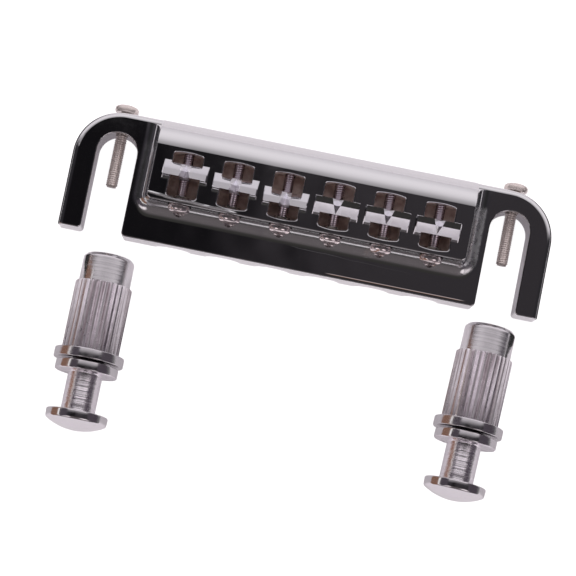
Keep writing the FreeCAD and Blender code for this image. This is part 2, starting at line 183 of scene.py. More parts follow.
# %% Paint the ceiling, the front and the sides
room = blend(tree, ramp(tree, lean_east, -0.07, 0.04),
             rgb(0.0066, 0.006, 0.0072), rgb(0.0355, 0.0315, 0.0355))
far_aside = ramp(tree, calc(tree, "ABSOLUTE", lean_east), 0.2, 0.5)
room = blend(tree, far_aside, room, rgb(0.03, 0.027, 0.032))
front = blend(tree, ramp(tree, lean_north, -0.1, -0.6),
              grey(0.035, 0.05), rgb(0.125, 0.11, 0.115))
front = blend(tree, ramp(tree, height, 0.4, 0.0), front, grey(0.055, 0.03))
front_share = both(tree, ramp(tree, lean_north, 0.02, -0.1),
                   ramp(tree, facing_north, -0.2, -0.6))
room = blend(tree, front_share, room, front)
side_share = both(tree, ramp(tree, facing_side, 0.3, 0.65), ramp(tree, height, 0.85, 0.6))
side_wall = blend(tree, ramp(tree, height, 0.75, 0.0), grey(0.02), rgb(0.06, 0.055, 0.064))
room = blend(tree, side_share, room, side_wall)
print("ceiling, front and sides painted")

# %% [markdown]
# The pale screen behind the bridge begins just behind the zenith and grows
# brighter along a curve. Two soft boxes hang in the front corners, and a ray
# meets one when it leaves nearly in the box's own direction.

# %% Paint the rear screen and the soft boxes
screen_edge, screen_growth = 0.165, -3.4
box_aside, box_height = 0.5417, 0.6428
screen = blend(tree, ramp(tree, height, 0.6, 0.0),
               rgb(0.89, 0.845, 0.88), rgb(0.70, 0.66, 0.70))
past_edge = calc(tree, "MAXIMUM", calc(tree, "SUBTRACT", lean_north, screen_edge), 0.0)
fade = calc(tree, "EXPONENT", calc(tree, "MULTIPLY", past_edge, screen_growth))
screen_share = both(tree, calc(tree, "SUBTRACT", 1.0, fade),
                    ramp(tree, facing_north, 0.22, 0.5))
room = blend(tree, screen_share, room, screen)
front_corner = calc(tree, "SUBTRACT", calc(tree, "ABSOLUTE", east), north)
towards_box = plus(tree, calc(tree, "MULTIPLY", height, box_height), front_corner, box_aside)
room = blend(tree, ramp(tree, towards_box, 0.94, 0.965), room, rgb(1.0, 0.91, 0.94))
print("room painted with", len(tree.nodes), "nodes")

# %% [markdown]
# The camera must see a plain white background, whatever the chrome reflects.
# Light Path tells whether a ray comes straight from the camera, and such rays
# get white.

# %% Show white to the camera
seen = add(tree, "LightPath").outputs["Is Camera Ray"]
room = blend(tree, seen, room, grey(1.0))
lamp = add(tree, "Background", Color=room, Strength=1.0)
out = add(tree, "OutputWorld")
tree.links.new(lamp.outputs["Background"], out.inputs["Surface"])
print("the camera sees white")


# %% [markdown]
# ## The floor
# The floor is a big plane under the bridge. It is an ordinary pale matt
# surface, so it takes the soft shadow. A little glow for camera rays lifts it
# to white. Mirrored rays get less of it, and less still under the stud sets and
# between the arms of the hooks: a painted shade, where little light gets in.

# %% Lay the floor
def fresh(name):
    material = bpy.data.materials.new(name)
    material.use_nodes = True
    material.node_tree.nodes.clear()
    return material, material.node_tree


bpy.ops.object.select_all(action="DESELECT")
bpy.ops.mesh.primitive_plane_add(size=6.0, location=(0, 0, -0.00002))
floor = bpy.context.object
floor.name = "studio_floor"
bpy.ops.object.transform_apply(location=True)
floor_finish, tree = fresh("matt_white_paper")
floor.data.materials.append(floor_finish)
print("floor size in m:", tuple(round(v, 2) for v in floor.dimensions))

# %% Give the floor its paper
path = add(tree, "LightPath").outputs
lit = calc(tree, "MAXIMUM", path["Is Camera Ray"], path["Is Glossy Ray"])
spot = add(tree, "TexCoord").outputs["Object"]
east, north, height = add(tree, "SeparateXYZ", Vector=spot).outputs
# painted shade: mirrored rays see a darker floor between the arms of the hooks and under the stud
# sets
painted_shade_in_slot = both(tree, band(tree, calc(tree, "ABSOLUTE", east), 0.0365, 0.046, 0.0008),
               band(tree, north, -0.0165, 0.0048, 0.0008))
painted_shade_under_sets = band(tree, north, -0.0575, -0.0243, 0.0027)
mirrored = blend(tree, painted_shade_under_sets, rgb(0.46, 0.43, 0.455), rgb(0.19, 0.178, 0.19))
mirrored = blend(tree, painted_shade_in_slot, mirrored, rgb(0.16, 0.145, 0.16))
mirrored = blend(tree, path["Is Camera Ray"], mirrored, grey(0.92))
paper = add(tree, "BsdfDiffuse", Color=grey(0.85))
glow = add(tree, "Emission", Color=mirrored, Strength=lit)
sheet = tree.nodes.new("ShaderNodeAddShader")
tree.links.new(paper.outputs[0], sheet.inputs[0])
tree.links.new(glow.outputs[0], sheet.inputs[1])
out = add(tree, "OutputMaterial")
tree.links.new(sheet.outputs[0], out.inputs["Surface"])
print("floor paper made with", len(tree.nodes), "nodes")


# %% [markdown]
# ## Cards beside the stud sets
# Round metal mirrors what stands close by. A photographer sets cards beside it,
# which draw the dark and light stripes along a cylinder. Each set gets a brown
# card with a pale stripe and a dark upper part on its left, and a black one on
# its right. A card is seen only from its front side and only in mirrors, so it
# takes no light from the rest and stays out of the picture.

# %% Make the cards' papers
def card_paper(name, colour_of):
    material, tree = fresh(name)
    spot = add(tree, "TexCoord").outputs["Object"]
    height = add(tree, "SeparateXYZ", Vector=spot).outputs["Z"]
    shine = add(tree, "Emission", Color=colour_of(tree, height), Strength=1.0)
    clear = add(tree, "BsdfTransparent")
    behind = add(tree, "NewGeometry").outputs["Backfacing"]
    mirrors = add(tree, "LightPath").outputs["Is Glossy Ray"]
    mix = tree.nodes.new("ShaderNodeMixShader")
    feed(tree, mix.inputs[0], both(tree, mirrors, calc(tree, "SUBTRACT", 1.0, behind)))
    tree.links.new(clear.outputs[0], mix.inputs[1])
    tree.links.new(shine.outputs[0], mix.inputs[2])
    out = add(tree, "OutputMaterial")
    tree.links.new(mix.outputs[0], out.inputs["Surface"])
    return material


card_black = rgb(0.072, 0.06, 0.074)
stripe_low, stripe_high = 0.0216, 0.0256


def brown_with_stripe(tree, height):
    stripe = band(tree, height, stripe_low, stripe_high, 0.0006)
    sheet = blend(tree, ramp(tree, height, stripe_high, stripe_high + 0.001),
                  rgb(0.23, 0.13, 0.095), card_black)
    return blend(tree, stripe, sheet, grey(0.95))


def plain_black(tree, height):
    return blend(tree, ramp(tree, height, 0.009, 0.016), grey(0.2), card_black)


left_paper = card_paper("brown_card_with_pale_edge", brown_with_stripe)
right_paper = card_paper("black_card", plain_black)
dark_paper = card_paper("dark_card", lambda tree, height: grey(0.03))
print("made", left_paper.name, right_paper.name, "and", dark_paper.name)


# %% [markdown]
# A card is a plane whose four corners are moved to their places. It is turned
# over where it faces the wrong way. A dark card also lies beside each arm of
# the casting, and draws the arm's outline.

# %% Set up the cards
def set_card(name, corners, paper, facing):
    bpy.ops.object.select_all(action="DESELECT")
    bpy.ops.mesh.primitive_plane_add(size=1.0, location=(0, 0, 0))
    card = bpy.context.object
    card.name = name
    for corner, place in zip(card.data.vertices, corners):
        corner.co = place
    card.data.update()
    if card.data.polygons[0].normal.dot(Vector(facing)) < 0:
        card.data.flip_normals()
    card.data.materials.append(paper)
    return card


def upright(x, low, high, front=-0.078, rear=-0.016):
    return [(x, y, z) for y in (front, rear) for z in (low, high)]


def lying(x0, x1, front=-0.022, rear=0.03, height=0.0001):
    return [(x, y, height) for y in (front, rear) for x in (x0, x1)]


cards = []
for side, middle in (("left", -0.0383), ("right", 0.0406)):
    cards.append(set_card("brown_card_" + side, upright(middle - 0.028, 0.005, 0.056),
                          left_paper, (1, 0, 0)))
    cards.append(set_card("black_card_" + side, upright(middle + 0.03, 0.008, 0.042),
                          right_paper, (-1, 0, 0)))
cards.append(set_card("dark_card_left", lying(-0.12, -0.0508), dark_paper, (0, 0, 1)))
cards.append(set_card("dark_card_right", lying(0.0508, 0.12), dark_paper, (0, 0, 1)))
print("cards:", [card.name for card in cards])


# %% [markdown]
# ## Marks that several finishes share
# Polished plate is never a perfect mirror. It has slow waves left from the
# polishing wheel, a haze of fine marks, and specks of dust. These are built
# once as node groups. A group gives out only numbers and normals, and every
# metal places it with its own values.

# %% Build the wavy plate group
def new_group(name, ins, outs):
    group = bpy.data.node_groups.new(name, "ShaderNodeTree")
    for label, kind, value in ins:
        socket = group.interface.new_socket(label, in_out="INPUT", socket_type=kind)
        if value is not None:
            socket.default_value = value
    for label, kind in outs:
        group.interface.new_socket(label, in_out="OUTPUT", socket_type=kind)
    start = group.nodes.new("NodeGroupInput").outputs
    end = group.nodes.new("NodeGroupOutput").inputs
    return group, start, end


FLOAT, VECTOR = "NodeSocketFloat", "NodeSocketVector"
wavy_plate, start, end = new_group(
    "wavy_plate",
    [("Place", VECTOR, None), ("Waves", FLOAT, 1.0), ("Haze", FLOAT, 0.05),
     ("Mottle", FLOAT, 1.0), ("Normal In", VECTOR, None)],
    [("Normal", VECTOR), ("Roughness", FLOAT)])
slow = add(wavy_plate, "TexNoise", Vector=start["Place"], Scale=85.0, Detail=1.0)
fine = add(wavy_plate, "TexNoise", Vector=start["Place"], Scale=900.0, Detail=2.0)
waves = add(wavy_plate, "Bump", Height=slow.outputs["Fac"], Distance=0.00018,
            Strength=start["Waves"], Normal=start["Normal In"])
peel = add(wavy_plate, "Bump", Height=fine.outputs["Fac"], Distance=0.0000012,
           Strength=start["Waves"], Normal=waves.outputs["Normal"])
rub = ramp(wavy_plate, fine.outputs["Fac"], 0.35, 0.75, -0.4, 0.5)
rub = calc(wavy_plate, "MULTIPLY_ADD", rub, start["Mottle"], 1.0)
wavy_plate.links.new(peel.outputs["Normal"], end["Normal"])
wavy_plate.links.new(calc(wavy_plate, "MULTIPLY", start["Haze"], rub), end["Roughness"])
print("group made:", wavy_plate.name)

# %% Build the dust group
dust, start, end = new_group(
    "dust_specks", [("Place", VECTOR, None), ("Amount", FLOAT, 0.1)], [("Mask", FLOAT)])
cells = add(dust, "TexVoronoi", Vector=start["Place"], Scale=260.0)
chance = add(dust, "SeparateColor", Color=cells.outputs["Color"]).outputs[0]
here = calc(dust, "LESS_THAN", chance, start["Amount"])
speck = ramp(dust, cells.outputs["Distance"], 0.045, 0.03)
dust.links.new(both(dust, here, speck), end["Mask"])
print("group made:", dust.name)

# %% [markdown]
# ## Turning marks
# A stud and a bushing are cut on a lathe, and the cutter leaves rings round
# the axis. They spread a reflection along the axis. The rings are a noise that
# runs only along the axis, so the group is given the distance along it.

# %% Build the turning marks group
turned, start, end = new_group(
    "turning_marks",
    [("Along", FLOAT, 0.0), ("Depth", FLOAT, 1.0), ("Normal In", VECTOR, None)],
    [("Normal", VECTOR)])
fine = add(turned, "TexNoise", {"noise_dimensions": "1D"}, W=start["Along"],
           Scale=11000.0, Detail=1.0)
coarse = add(turned, "TexNoise", {"noise_dimensions": "1D"}, W=start["Along"],
             Scale=1500.0, Detail=2.0)
hair = add(turned, "Bump", Height=fine.outputs["Fac"], Distance=0.00002,
           Strength=start["Depth"], Normal=start["Normal In"])
ring = add(turned, "Bump", Height=coarse.outputs["Fac"], Distance=0.00011,
           Strength=start["Depth"], Normal=hair.outputs["Normal"])
turned.links.new(ring.outputs["Normal"], end["Normal"])
print("group made:", turned.name)


# %% [markdown]
# ## The metals
# Every metal here is one Principled shader. Bright plate has Metallic at 1, and
# dull plate has less. The groups above feed its roughness and its normal. Where
# a metal differs from place to place, a shape function gives the colour, the
# normal, the roughness and Metallic at each place.

# %% Define the recipe for plated metal
def group_node(tree, group, **inputs):
    node = tree.nodes.new("ShaderNodeGroup")
    node.node_tree = group
    for name, value in inputs.items():
        feed(tree, node.inputs[name.replace("_", " ")], value)
    return node.outputs


def metal(name, colour, haze, waves=1.0, specks=0.06, shape=None, mottle=1.0):
    material, tree = fresh(name)
    place = add(tree, "TexCoord").outputs["Object"]
    normal = add(tree, "NewGeometry").outputs["Normal"]
    shade, metallic = colour, 1.0
    if shape:
        shade, normal, haze, metallic = shape(tree, place, colour, normal, haze)
    plate = group_node(tree, wavy_plate, Place=place, Waves=waves, Haze=haze,
                       Mottle=mottle, Normal_In=normal)
    mask = group_node(tree, dust, Place=place, Amount=specks)["Mask"]
    rough = calc(tree, "MAXIMUM", plate["Roughness"], calc(tree, "MULTIPLY", mask, 0.6))
    shader = add(tree, "BsdfPrincipled", Metallic=metallic, Normal=plate["Normal"],
                 Base_Color=blend(tree, mask, shade, grey(0.45)), Roughness=rough)
    out = add(tree, "OutputMaterial")
    tree.links.new(shader.outputs[0], out.inputs["Surface"])
    return material


print("metal recipe ready")

# %% [markdown]
# ## Fine lines on the casting
# Three fine lines stand a little proud of the casting: a run in the plating on
# the left of the block, a lip along the front edge on the right, and one long
# scratch. Each is a narrow ramp on both sides of a straight track. The lip's
# mask also tints it pinkish brown, a painted reflection.

# %% Draw the fine lines
string_pitch = 0.0105


def off_string(tree, x):
    lane = calc(tree, "FRACT", calc(tree, "ADD", calc(tree, "DIVIDE", x, string_pitch), 100.0))
    off = calc(tree, "ABSOLUTE", calc(tree, "SUBTRACT", lane, 0.5))
    return calc(tree, "MULTIPLY", off, string_pitch)


def raised_line(tree, x, y, start, slope, half_width, west, east):
    track = calc(tree, "ADD", calc(tree, "MULTIPLY", x, slope), start)
    off = calc(tree, "ABSOLUTE", calc(tree, "SUBTRACT", y, track))
    return both(tree, ramp(tree, off, half_width, 0.0), band(tree, x, west, east, 0.0015))


def plating_lines(tree, place, x, y, normal):
    wobble = add(tree, "TexNoise", Vector=place, Scale=160.0).outputs["Fac"]
    loose = plus(tree, y, calc(tree, "SUBTRACT", wobble, 0.5), 0.0008)
    run = raised_line(tree, x, loose, -0.00887, -0.045, 0.00032, -0.0325, -0.0155)
    lip_with_painted_reflection = raised_line(tree, x, y, -0.01612, 0.0, 0.00022, 0.006, 0.0345)
    scratch = raised_line(tree, x, loose, -0.0121, -0.0286, 0.00014, -0.008, 0.0235)
    height = plus(tree, plus(tree, calc(tree, "MULTIPLY", run, 1.7), lip_with_painted_reflection, 0.22), scratch, 0.035)
    bump = add(tree, "Bump", Height=height, Distance=0.00009, Normal=normal)
    return bump.outputs["Normal"], run, lip_with_painted_reflection


print("string pitch in mm:", string_pitch * 1000)

# %% [markdown]
# ## The casting's chrome
# The outside of the casting is mirror bright. The insides of the six windows
# are hard to reach with a polishing wheel, so there the plate is duller. Their
# warm brown, mottled by a noise, is a painted reflection of brown surroundings,
# kept light to make up for the little light that gets in. A mask made of the
# windows' own places tells the two apart. The hollows at the foot of the block
# are satin, as the wheel hardly reaches them either.

# %% Make the casting's chrome
window_half_width = 0.00306
window_limits = {"x": (-0.0315, 0.0315), "y": (-0.00745, 0.00215), "z": (0.0078, 0.01265)}


def inside_windows(tree, x, y, z):
    inside = calc(tree, "LESS_THAN", off_string(tree, x), window_half_width)
    for value, (low, high) in zip((x, y, z), window_limits.values()):
        inside = both(tree, inside, calc(tree, "GREATER_THAN", value, low))
        inside = both(tree, inside, calc(tree, "LESS_THAN", value, high))
    return inside


def satin_hollows(tree, x, y, z):
    ends = ramp(tree, calc(tree, "ABSOLUTE", x), 0.03335, 0.0336)
    ends = both(tree, ends, ramp(tree, x, -0.02, 0.02, 0.35, 1.0))
    fronts = calc(tree, "MULTIPLY", ramp(tree, y, -0.00865, -0.0089), 0.45)
    low_down = both(tree, band(tree, z, 0.00808, 0.0124, 0.00006), ramp(tree, y, 0.0045, 0.003))
    return both(tree, calc(tree, "MAXIMUM", ends, fronts), low_down)


def casting_shape(tree, place, colour, normal, haze):
    x, y, z = add(tree, "SeparateXYZ", Vector=place).outputs
    normal, run, lip_with_painted_reflection = plating_lines(tree, place, x, y, normal)
    inside = inside_windows(tree, x, y, z)
    # painted reflection: the windows' warm brown, mottled by a noise, stands for brown
    # surroundings mirrored in them
    painted_reflection_mottle = add(tree, "TexNoise", Vector=place, Scale=450.0, Detail=2.0).outputs["Fac"]
    painted_brown_reflection = blend(tree, ramp(tree, painted_reflection_mottle, 0.35, 0.65), rgb(0.70, 0.55, 0.49), rgb(1.0, 0.85, 0.78))
    shade = blend(tree, inside, colour, painted_brown_reflection)
    # painted reflection: the lip is tinted pinkish brown
    shade = blend(tree, lip_with_painted_reflection, shade, rgb(0.86, 0.58, 0.46))
    rough = plus(tree, haze, inside, 0.4)
    rough = plus(tree, rough, satin_hollows(tree, x, y, z), 0.24)
    matt = calc(tree, "MAXIMUM", calc(tree, "MULTIPLY", inside, 0.65),
                calc(tree, "MULTIPLY", run, 0.7))
    return shade, normal, rough, calc(tree, "SUBTRACT", 1.0, matt)


casting_chrome = metal("casting_chrome", rgb(0.80, 0.80, 0.81), 0.05, specks=0.11,
                       shape=casting_shape, mottle=0.35)
print("made", casting_chrome.name)


# %% [markdown]
# ## The saddles' chrome
# The string notches of the saddles are filed, so they are satin. The notches
# of the left three saddles face the light, so they are painted whiter than the
# others: a painted highlight.

# %% Make the saddles' chrome
def saddle_shape(tree, place, colour, normal, haze):
    x = add(tree, "SeparateXYZ", Vector=place).outputs["X"]
    filed_and_painted_highlight = both(tree, ramp(tree, off_string(tree, x), 0.0012, 0.0009),
                 ramp(tree, x, 0.001, -0.001, 0.25, 1.0))
    # painted highlight: the filed notches are whitened, the left three fully and the right three
    # a quarter as much
    shade = blend(tree, filed_and_painted_highlight, colour, rgb(0.96, 0.95, 1.0))
    return shade, normal, plus(tree, haze, filed_and_painted_highlight, 0.38), 1.0


saddle_chrome = metal("saddle_chrome", rgb(0.82, 0.81, 0.84), 0.06, waves=0.6,
                      shape=saddle_shape)
print("made", saddle_chrome.name)

# %% [markdown]
# ## Nickel for the screws, spring steel for the clips
# The small screws are nickel plated, which is warmer and a little softer than
# chrome. The six intonation screws' threads get a painted shade, deepest at the
# rear of the windows. The two ear screws are dull. The clips that hold the
# screws are plain spring steel.

# %% Make the screws' and the clips' metals
head_end, thread_start = -0.0086, -0.0082


def thread_painted_shade(tree, place, colour, normal, haze):
    y = add(tree, "SeparateXYZ", Vector=place).outputs["Y"]
    # painted shade: the thread is darkened, most of all at the rear of the windows
    painted_thread_shade = blend(tree, ramp(tree, y, -0.0048, -0.0022),
                rgb(0.60, 0.53, 0.58), rgb(0.37, 0.32, 0.36))
    shade = blend(tree, ramp(tree, y, head_end, thread_start), colour, painted_thread_shade)
    return shade, normal, haze, ramp(tree, y, head_end, thread_start, 0.9, 1.0)


def dull_plate(tree, place, colour, normal, haze):
    return colour, normal, haze, 0.5


screw_nickel = metal("screw_nickel", rgb(0.98, 0.89, 0.89), 0.13, waves=0.2,
                     shape=thread_painted_shade)
ear_nickel = metal("ear_screw_nickel", rgb(1.0, 0.90, 0.85), 0.22, waves=0.2,
                   shape=dull_plate)
spring_steel = metal("spring_steel", rgb(0.50, 0.46, 0.42), 0.28)
print("made", screw_nickel.name, ear_nickel.name, "and", spring_steel.name)

# %% [markdown]
# ## Where the stud sets lie
# A set rests on the rim of its flange and on the lower end of its barrel, which
# is thinner, so its axis droops to the rear. Each set is also turned a little.

# %% Work out the two axes
flange_radius, rim_rounding = 0.0072, 0.0003
barrel_radius, barrel_length = 0.0059, 0.0144
droop = math.atan2(flange_radius - barrel_radius, barrel_length)
lift = flange_radius * math.cos(droop) - rim_rounding * math.sin(droop)
set_places = {"left": (-0.0383, -0.0416, -0.3), "right": (0.0406, -0.0404, 2.5)}


def set_axis(side):
    x, y, turn = set_places[side]
    turn = math.radians(turn)
    way = Vector((math.cos(droop) * math.sin(turn), math.cos(droop) * math.cos(turn),
                  -math.sin(droop)))
    return Vector((x, y, lift)), way


print("both sets lie with a droop of", round(math.degrees(droop), 2), "degrees")


# %% [markdown]
# ## The turned metal of the stud sets
# Neck and nose show the lathe's rings, while the flanges and the domed head are
# polished. The distance along a set's own axis tells them apart. The stud's neck
# is also painted lighter, a painted highlight for the light its rings catch. The
# knurled barrel of a bushing is satin, with light and dark streaks along it,
# painted highlight and shade for its flutes.

# %% Describe the turned metals
def distance_along(tree, place, way):
    dot = add(tree, "VectorMath", {"operation": "DOT_PRODUCT"})
    feed(tree, dot.inputs[0], place)
    dot.inputs[1].default_value = way
    return dot.outputs["Value"]


def ringed(tree, side, place, normal, haze, low, high, depth):
    begin, way = set_axis(side)
    along = calc(tree, "SUBTRACT", distance_along(tree, place, way), begin.dot(way))
    share = both(tree, calc(tree, "GREATER_THAN", along, low),
                 calc(tree, "LESS_THAN", along, high))
    rings = group_node(tree, turned, Along=along, Depth=calc(tree, "MULTIPLY", share, depth),
                       Normal_In=normal)
    return along, share, rings["Normal"], plus(tree, haze, share, 0.08)


def stud_shape(side):
    def shape(tree, place, colour, normal, haze):
        along, share, normal, rough = ringed(tree, side, place, normal, haze,
                                             -0.0125, -0.0042, 1.0)
        # painted highlight: the ringed neck is given a lighter colour than the polished parts
        return blend(tree, share, colour, rgb(1.0, 0.96, 1.0)), normal, rough, 1.0
    return shape


def bushing_shape(side):
    across_way = set_axis(side)[1].cross(Vector((0, 0, 1))).normalized()

    def shape(tree, place, colour, normal, haze):
        along, share, normal, rough = ringed(tree, side, place, normal, haze,
                                             0.0145, 0.0215, 0.12)
        barrel = band(tree, along, 0.0003, 0.01435, 0.0001)
        flange = band(tree, along, -0.0021, 0.0002, 0.0001)
        rough = plus(tree, plus(tree, rough, barrel, 0.22), flange, 0.08)
        line = add(tree, "CombineXYZ", X=distance_along(tree, place, across_way),
                   Y=calc(tree, "MULTIPLY", along, 0.015)).outputs["Vector"]
        # painted highlight and shade: light and dark streaks along the knurled barrel stand for
        # its flutes' lines
        streaks = add(tree, "TexNoise", Vector=line, Scale=3200.0, Detail=2.0).outputs["Fac"]
        painted_streak_light_and_shade = blend(tree, ramp(tree, streaks, 0.36, 0.62),
                     rgb(0.56, 0.51, 0.53), rgb(0.97, 0.93, 0.97))
        return blend(tree, barrel, colour, painted_streak_light_and_shade), normal, rough, 1.0
    return shape


# %% Make the turned metals
set_metals = {}
for side in set_places:
    set_metals["stud_" + side] = metal(
        "stud_chrome_" + side, rgb(0.80, 0.78, 0.80), 0.15, waves=0.9, mottle=0.5,
        shape=stud_shape(side))
    set_metals["bushing_" + side] = metal(
        "bushing_chrome_" + side, rgb(0.78, 0.76, 0.78), 0.12, waves=0.9, mottle=0.5,
        shape=bushing_shape(side))
print("made", ", ".join(sorted(set_metals)))


# %% [markdown]
# ## The small screws
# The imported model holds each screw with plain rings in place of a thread. Seen
# close up, a real thread climbs, so the eight screws are modelled again here.
# An outline is traced point by point with extrude, from a single corner.

# %% Trace an outline
def pick(piece):
    if bpy.context.object and bpy.context.object.mode == "EDIT":
        bpy.ops.object.mode_set(mode="OBJECT")
    bpy.ops.object.select_all(action="DESELECT")
    if piece:
        piece.select_set(True)
        bpy.context.view_layer.objects.active = piece


def trace(points):
    pick(None)
    bpy.ops.mesh.primitive_plane_add(size=0.001, location=(0, 0, 0))
    bpy.ops.object.mode_set(mode="EDIT")
    bpy.ops.mesh.select_mode(type="VERT")
    bpy.ops.mesh.select_all(action="SELECT")
    bpy.ops.mesh.merge(type="CENTER")
    bpy.ops.transform.translate(value=(points[0][0], 0, points[0][1]))
    for here, there in zip(points, points[1:]):
        bpy.ops.mesh.extrude_region_move(
            TRANSFORM_OT_translate={"value": (there[0] - here[0], 0, there[1] - here[1])})
    bpy.ops.object.mode_set(mode="OBJECT")
    return bpy.context.object


print("outlines are traced with extrude")


# %% [markdown]
# The thread is a small zigzag of one pitch that the Screw modifier winds round
# the axis, which is how a lathe cuts it. Its two ragged ends are cut off flat.

# %% Wind the thread and cut its ends
def cut_flat(piece, height, upper):
    bpy.ops.object.mode_set(mode="EDIT")
    bpy.ops.mesh.select_all(action="SELECT")
    bpy.ops.mesh.bisect(plane_co=(0, 0, height), plane_no=(0, 0, 1), use_fill=True,
                        clear_outer=upper, clear_inner=not upper)
    bpy.ops.object.mode_set(mode="OBJECT")


def thread(radius, depth, pitch, low, high):
    root, begin = radius - depth, low - 2 * pitch
    piece = trace([(root, begin), (radius, begin + 0.44 * pitch),
                   (radius, begin + 0.56 * pitch), (root, begin + pitch)])
    winding = piece.modifiers.new("winding", "SCREW")
    winding.axis = "Z"
    winding.screw_offset = pitch
    winding.iterations = math.ceil((high - low) / pitch) + 4
    winding.steps = winding.render_steps = 20
    winding.use_merge_vertices = True
    winding.merge_threshold = pitch / 500
    bpy.ops.object.modifier_apply(modifier=winding.name)
    cut_flat(piece, high, True)
    cut_flat(piece, low, False)
    return piece


print("a thread is wound with the Screw modifier")


# %% [markdown]
# ## Neck, tip and head of a screw
# The neck is a plain rod that reaches into the head, and the tip is a short
# cone. The head is a disc whose top is extruded in small steps that follow the
# crown of a pan head. Two crossed bars are taken out of it.

# %% Shape the head
def rod(radius, low, high, end_radius=None):
    pick(None)
    bpy.ops.mesh.primitive_cone_add(
        vertices=40, radius1=radius if end_radius is None else end_radius, radius2=radius,
        depth=high - low, location=(0, 0, (low + high) / 2))
    bpy.ops.object.transform_apply(location=True)
    return bpy.context.object


def pan_head(radius, rim, crown, crown_steps=6):
    reach, height = radius * 0.94, rim * 0.12
    head = rod(reach, 0, height)
    bpy.ops.object.mode_set(mode="EDIT")
    bpy.ops.mesh.select_mode(type="FACE")
    bpy.ops.mesh.select_all(action="DESELECT")
    bpy.ops.object.mode_set(mode="OBJECT")
    for face in head.data.polygons:
        face.select = face.normal.z > 0.9
    bpy.ops.object.mode_set(mode="EDIT")
    steps = [(radius, rim * 0.3), (radius, rim * 0.8)]
    for step in range(1, crown_steps + 1):
        turn = math.radians(14 * step)
        steps.append((radius * math.cos(turn) ** 0.8,
                      rim * 0.8 + (crown + rim * 0.2) * math.sin(turn)))
    for next_reach, next_height in steps:
        bpy.ops.mesh.extrude_region_move(
            TRANSFORM_OT_translate={"value": (0, 0, next_height - height)})
        bpy.ops.transform.resize(value=(next_reach / reach, next_reach / reach, 1))
        reach, height = next_reach, next_height
    bpy.ops.object.mode_set(mode="OBJECT")
    return head


# %% Cut the cross into the head
def cross_out(head, radius, top):
    for turn in (0, 90):
        pick(None)
        bpy.ops.mesh.primitive_cube_add(size=1, location=(0, 0, top))
        bar = bpy.context.object
        bar.scale = (radius * 1.16, radius * 0.24, radius * 0.45)
        bar.rotation_euler = (0, 0, math.radians(turn))
        bpy.ops.object.transform_apply(location=True, rotation=True, scale=True)
        cut = head.modifiers.new("cross", "BOOLEAN")
        cut.operation, cut.object, cut.solver = "DIFFERENCE", bar, "EXACT"
        pick(head)
        bpy.ops.object.modifier_apply(modifier=cut.name)
        bpy.data.objects.remove(bar)


print("head helpers ready")

# %% [markdown]
# ## One whole screw
# The pieces are joined, and their faces are turned outwards. A screw is made
# upright with its head on top, then laid along its own axis, so that its place
# is in its mesh.

# %% Join the pieces of a screw
crease_angle = math.radians(35)


def joined(parts, name, turn_outwards):
    pick(parts[0])
    for part in parts:
        part.select_set(True)
    bpy.ops.object.join()
    if turn_outwards:
        bpy.ops.object.mode_set(mode="EDIT")
        bpy.ops.mesh.select_all(action="SELECT")
        bpy.ops.mesh.normals_make_consistent(inside=False)
        bpy.ops.object.mode_set(mode="OBJECT")
    bpy.ops.object.shade_smooth_by_angle(angle=crease_angle)
    parts[0].name = name
    return parts[0]


def whole_screw(name, radius, depth, pitch, neck, length, head_radius, rim, crown):
    tip = 0.3 * radius
    root = radius - depth
    parts = [thread(radius, depth, pitch, tip - length, -neck),
             rod(root, -length, tip - length + pitch, root - tip * 0.4),
             rod(root - 0.00002, -neck - pitch, rim * 0.5)]
    head = pan_head(head_radius, rim, crown)
    cross_out(head, head_radius, rim + crown)
    return joined(parts + [head], name, True)


def copy_of(model):
    piece = model.copy()
    piece.data = model.data.copy()
    bpy.context.scene.collection.objects.link(piece)
    return piece


def lay(piece, place, turns):
    pick(piece)
    piece.rotation_euler = turns
    piece.location = place
    bpy.ops.object.transform_apply(location=True, rotation=True, scale=True)


def declare(piece, node, body, metal_of, ending="_threaded"):
    piece.name = piece.data.name = node + ending
    piece.data.materials.clear()
    piece.data.materials.append(metal_of)
    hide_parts(node)
    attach(piece, body)


to_front, to_rear = (math.radians(90), 0, 0), (math.radians(-90), 0, 0)
print("screws can be joined, laid and declared")

# %% Make the six intonation screws
model = whole_screw("intonation_screw", radius=0.0011, depth=0.00014, pitch=0.00045,
                    neck=0.0018, length=0.0120, head_radius=0.0023, rim=0.0009, crown=0.0008)
for number in range(1, 7):
    piece = copy_of(model) if number < 6 else model
    lay(piece, ((number - 3.5) * string_pitch, head_end, 0.0106), to_front)
    declare(piece, "intonation_screw_%d" % number, "screw_%d" % number,
            screw_nickel)
print("intonation screws:", len(model.data.polygons), "faces each")

# %% Make the two ear screws
model = whole_screw("ear_screw", radius=0.001225, depth=0.00014, pitch=0.00045,
                    neck=0.00005, length=0.0158, head_radius=0.0025, rim=0.0010, crown=0.00077)
for side, x in (("left", -0.04125), ("right", 0.04125)):
    piece = copy_of(model) if side == "left" else model
    lay(piece, (x, 0.0089, 0.004), to_rear)
    declare(piece, "ear_screw_" + side, "ear_screw_" + side, ear_nickel)
print("ear screws:", len(model.data.polygons), "faces each")


# %% [markdown]
# ## The studs and their bushings
# All four are lathe work. Each starts as half an outline in millimetres, traced
# point by point with extrude, and the Screw modifier swings it once round the
# axis in 96 steps, so that the stripes mirrored in it run clean. A Bevel
# modifier breaks the sharp edges, as tumbling and plating do.

